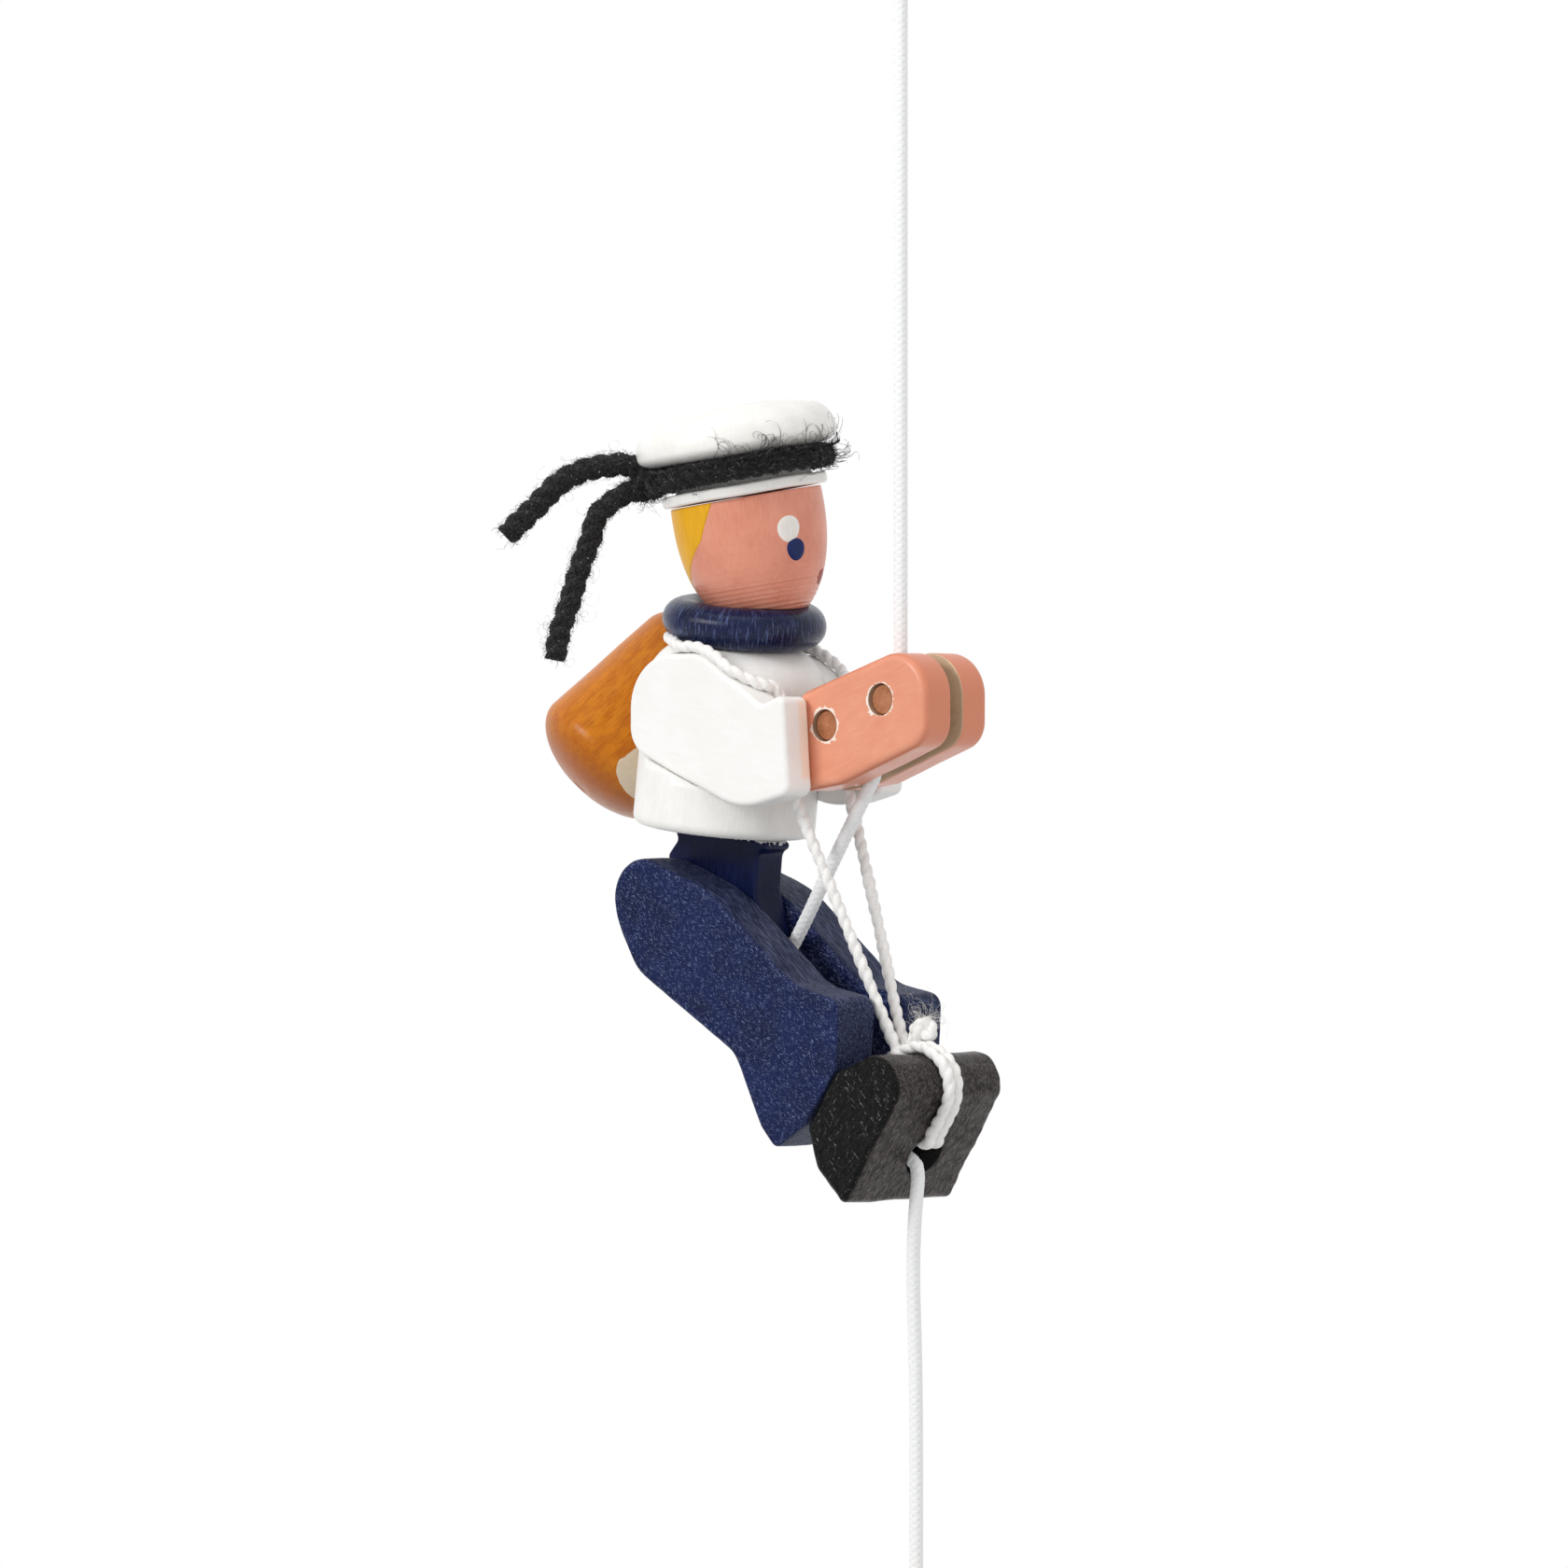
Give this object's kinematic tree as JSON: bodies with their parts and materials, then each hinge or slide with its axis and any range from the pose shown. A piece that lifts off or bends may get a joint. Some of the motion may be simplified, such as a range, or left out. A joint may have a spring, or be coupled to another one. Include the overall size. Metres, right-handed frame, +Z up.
{
  "type": "rope climbing toy",
  "caption": "Wooden sailor that climbs a cord: pull the cord and its legs stretch about the hip pin, against an elastic string, as its hands slip up the cord.",
  "frame": {"origin": "where the top loop of the climbing cord hangs on its hook, on the inside of the loop's top", "axes": "+Z is up along the cord, +X is the way the figure faces, -Y is the figure's right side"},
  "size_m": [0.0848, 0.0484, 0.2823],
  "materials": {
    "white_paint": "painted",
    "navy_paint": "painted",
    "pink_paint": "painted",
    "black_paint": "painted",
    "amber_varnish": "varnished",
    "bare_wood": "matte",
    "white_cord": "matte",
    "black_wool": "matte"
  },
  "bodies": {
    "line": {"hang_loop": "white_cord", "loop_knot": "white_cord", "cord_upper": "white_cord", "cord_lower": "white_cord", "pull_bead": "bare_wood", "end_knot": "white_cord"},
    "grip": {"hand_pin_front": "bare_wood"},
    "figure": {"cord_in_hands": "white_cord", "cord_hands_to_knee": "white_cord", "cap": "white_paint", "yarn_band": "black_wool", "yarn_knot": "black_wool", "yarn_tail_upper": "black_wool", "yarn_tail_lower": "black_wool", "head": "pink_paint", "neck_dowel": "bare_wood", "collar_ring": "navy_paint", "torso": "white_paint", "arm_right": "white_paint", "arm_left": "white_paint", "hand_right": "pink_paint", "hand_left": "pink_paint", "hand_pin_rear": "bare_wood", "hip_block": "navy_paint", "bag": "amber_varnish", "bag_peg": "bare_wood", "elastic_neck_loop": "white_cord", "elastic_right": "white_cord", "elastic_left": "white_cord"},
    "legs": {"leg_right": "navy_paint", "leg_left": "navy_paint", "hip_pin": "bare_wood", "cord_pin": "bare_wood", "foot_block": "black_paint", "cord_knee_to_foot": "white_cord", "elastic_wrap": "white_cord", "elastic_knot": "white_cord"}
  },
  "joints": [
    {"name": "climb", "type": "slide", "parent": "line", "child": "grip", "axis": [0, 0, 1], "range_m": [-0.03, 0.08], "deforming": ["cord_upper", "cord_lower"]},
    {"name": "swing", "type": "hinge", "parent": "grip", "child": "figure", "pos_m": [0.0023, 0, -0.1269], "axis": [0, -1, 0], "range_deg": [0, 10.92], "deforming": ["cord_in_hands", "cord_upper", "cord_lower"]},
    {"name": "stretch", "type": "hinge", "parent": "figure", "child": "legs", "pos_m": [-0.0312, 0, -0.1597], "axis": [0, 1, 0], "range_deg": [0, 21], "stiffness_Nm_per_rad": 0.03, "springref_deg": -34.38, "deforming": ["cord_hands_to_knee", "elastic_right", "elastic_left", "cord_lower"]}
  ],
  "couplings": [
    {"joint": "swing", "follows": "stretch", "ratio": 0.52}
  ]
}
